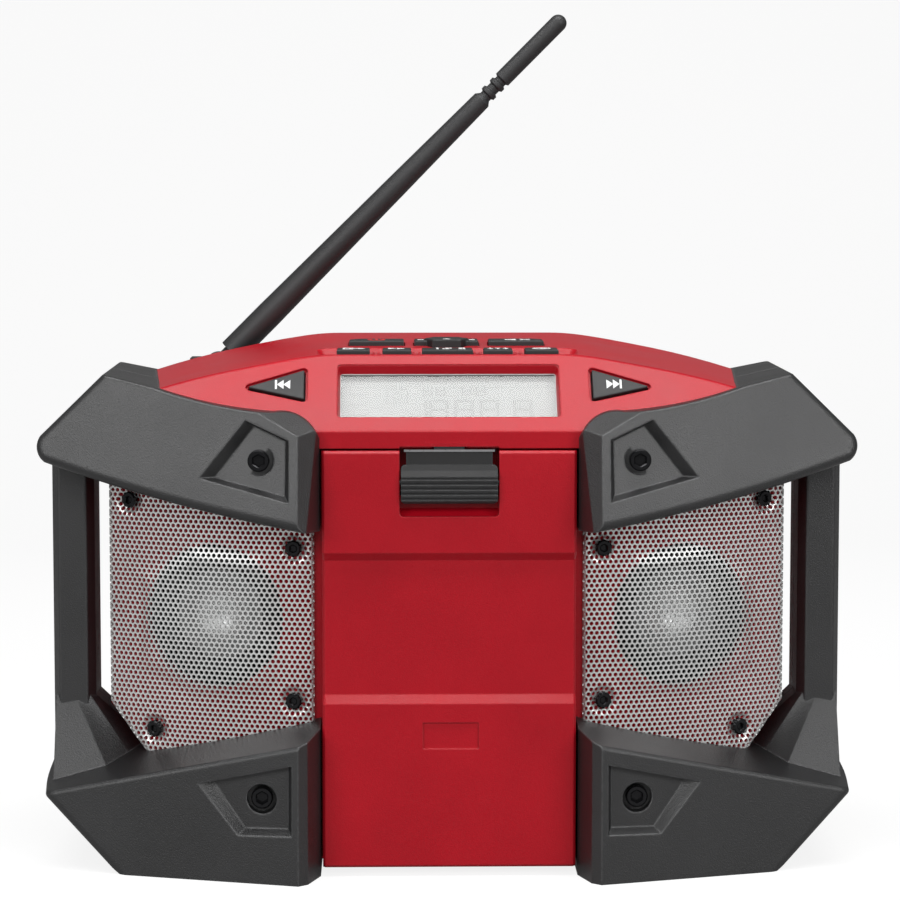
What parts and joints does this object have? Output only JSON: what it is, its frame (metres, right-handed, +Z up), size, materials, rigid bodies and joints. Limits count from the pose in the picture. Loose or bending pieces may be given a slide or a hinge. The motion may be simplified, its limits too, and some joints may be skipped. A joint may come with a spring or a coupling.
{
  "type": "jobsite radio",
  "caption": "Rugged portable radio with a front door over a player compartment, perforated speaker grilles, corner guards with side bars, sprung buttons and a swivelling whip antenna.",
  "frame": {"origin": "middle of the footprint on the surface it stands on", "axes": "+X to the right seen from the front, +Y from front to back, +Z up; the radio faces -Y"},
  "size_m": [0.2764, 0.1228, 0.2909],
  "materials": {
    "red_plastic": "fine textured red",
    "black_guard": "textured dark grey",
    "black_plastic": "satin black",
    "rubber": "matt rubber",
    "grille_metal": "perforated bare metal",
    "lens": "clear window",
    "display": "pale grey display",
    "board": "green board",
    "screw_steel": "black oxide",
    "plain_steel": "bright steel",
    "cone_paper": "grey coated paper",
    "basket_metal": "black enamel",
    "magnet_ferrite": "dark ferrite",
    "foam": "soft foam",
    "brass": "plated brass"
  },
  "bodies": {
    "root": {"antenna_bracket": "black_plastic", "antenna_pin": "screw_steel", "aux_jack": "black_plastic", "battery_bay": "black_plastic", "battery_terminals": "brass", "compartment_liner": "black_plastic", "compartment_pad": "foam", "dc_jack": "black_plastic", "display_lens": "lens", "display_module": "display", "door_seal": "rubber", "front_guard_screws": "screw_steel", "front_housing": "red_plastic", "grille_screws": "screw_steel", "housing_screws": "plain_steel", "keypad": "rubber", "left_front_guard": "black_guard", "left_grille": "grille_metal", "left_rear_guard": "black_guard", "left_speaker_basket": "basket_metal", "left_speaker_magnet": "magnet_ferrite", "left_speaker_surround": "foam", "main_board": "board", "power_board": "board", "rear_guard_screws": "screw_steel", "rear_housing": "red_plastic", "right_front_guard": "black_guard", "right_grille": "grille_metal", "right_rear_guard": "black_guard", "right_speaker_basket": "basket_metal", "right_speaker_magnet": "magnet_ferrite", "right_speaker_surround": "foam", "speaker_screws": "plain_steel"},
    "door": {"door": "red_plastic", "hinge_pin": "plain_steel", "latch_pin": "plain_steel", "latch_spring": "plain_steel"},
    "latch": {"latch": "black_plastic"},
    "antenna": {"antenna_whip": "rubber"},
    "battery": {"battery_pack": "black_plastic"},
    "battery_tab_left": {"battery_tab_left": "black_plastic"},
    "battery_tab_right": {"battery_tab_right": "black_plastic"},
    "left_cone": {"left_speaker_cone": "cone_paper"},
    "right_cone": {"right_speaker_cone": "cone_paper"},
    "power_button": {"power_button": "rubber"},
    "mute_button": {"mute_button": "rubber"},
    "source_button": {"source_button": "rubber"},
    "scan_button": {"scan_button": "rubber"},
    "preset_button": {"preset_button": "rubber"},
    "tone_button": {"tone_button": "rubber"},
    "clock_button": {"clock_button": "rubber"},
    "volume_rocker": {"volume_rocker": "rubber"},
    "seek_back_button": {"seek_back_button": "rubber"},
    "seek_forward_button": {"seek_forward_button": "rubber"}
  },
  "joints": [
    {"name": "door_hinge", "type": "hinge", "parent": "root", "child": "door", "pos_m": [0, -0.0435, 0.0065], "axis": [1, 0, 0], "range_deg": [0, 90]},
    {"name": "latch_pivot", "type": "hinge", "parent": "door", "child": "latch", "pos_m": [0, -0.046, 0.132], "axis": [-1, 0, 0], "range_deg": [0, 32], "stiffness_Nm_per_rad": 0.05},
    {"name": "antenna_swivel", "type": "hinge", "parent": "root", "child": "antenna", "pos_m": [-0.0815, 0.053, 0.1646], "axis": [0, 1, 0], "range_deg": [-90, 45]},
    {"name": "battery_slide", "type": "slide", "parent": "root", "child": "battery", "axis": [0, 1, 0], "range_m": [0, 0.075]},
    {"name": "battery_tab_left_press", "type": "slide", "parent": "battery", "child": "battery_tab_left", "axis": [1, 0, 0], "range_m": [0, 0.0012], "stiffness_N_per_m": 500},
    {"name": "battery_tab_right_press", "type": "slide", "parent": "battery", "child": "battery_tab_right", "axis": [-1, 0, 0], "range_m": [0, 0.0012], "stiffness_N_per_m": 500},
    {"name": "volume_rock", "type": "hinge", "parent": "root", "child": "volume_rocker", "pos_m": [0, 0.008, 0.17], "axis": [0, 1, 0], "range_deg": [-4, 4], "stiffness_Nm_per_rad": 0.05},
    {"name": "left_cone_travel", "type": "slide", "parent": "root", "child": "left_cone", "axis": [-0.3074, -0.9516, 0], "range_m": [-0.0012, 0.0012], "stiffness_N_per_m": 500},
    {"name": "right_cone_travel", "type": "slide", "parent": "root", "child": "right_cone", "axis": [0.3074, -0.9516, 0], "range_m": [-0.0012, 0.0012], "stiffness_N_per_m": 500},
    {"name": "power_press", "type": "slide", "parent": "root", "child": "power_button", "axis": [0, 0, -1], "range_m": [0, 0.001], "stiffness_N_per_m": 500},
    {"name": "mute_press", "type": "slide", "parent": "root", "child": "mute_button", "axis": [0, 0, -1], "range_m": [0, 0.001], "stiffness_N_per_m": 500},
    {"name": "source_press", "type": "slide", "parent": "root", "child": "source_button", "axis": [0, 0, -1], "range_m": [0, 0.001], "stiffness_N_per_m": 500},
    {"name": "scan_press", "type": "slide", "parent": "root", "child": "scan_button", "axis": [0, 0, -1], "range_m": [0, 0.001], "stiffness_N_per_m": 500},
    {"name": "preset_press", "type": "slide", "parent": "root", "child": "preset_button", "axis": [0, 0, -1], "range_m": [0, 0.001], "stiffness_N_per_m": 500},
    {"name": "tone_press", "type": "slide", "parent": "root", "child": "tone_button", "axis": [0, 0, -1], "range_m": [0, 0.001], "stiffness_N_per_m": 500},
    {"name": "clock_press", "type": "slide", "parent": "root", "child": "clock_button", "axis": [0, 0, -1], "range_m": [0, 0.001], "stiffness_N_per_m": 500},
    {"name": "seek_back_press", "type": "slide", "parent": "root", "child": "seek_back_button", "axis": [0, 0.726, -0.6877], "range_m": [0, 0.001], "stiffness_N_per_m": 500},
    {"name": "seek_forward_press", "type": "slide", "parent": "root", "child": "seek_forward_button", "axis": [0, 0.726, -0.6877], "range_m": [0, 0.001], "stiffness_N_per_m": 500}
  ]
}
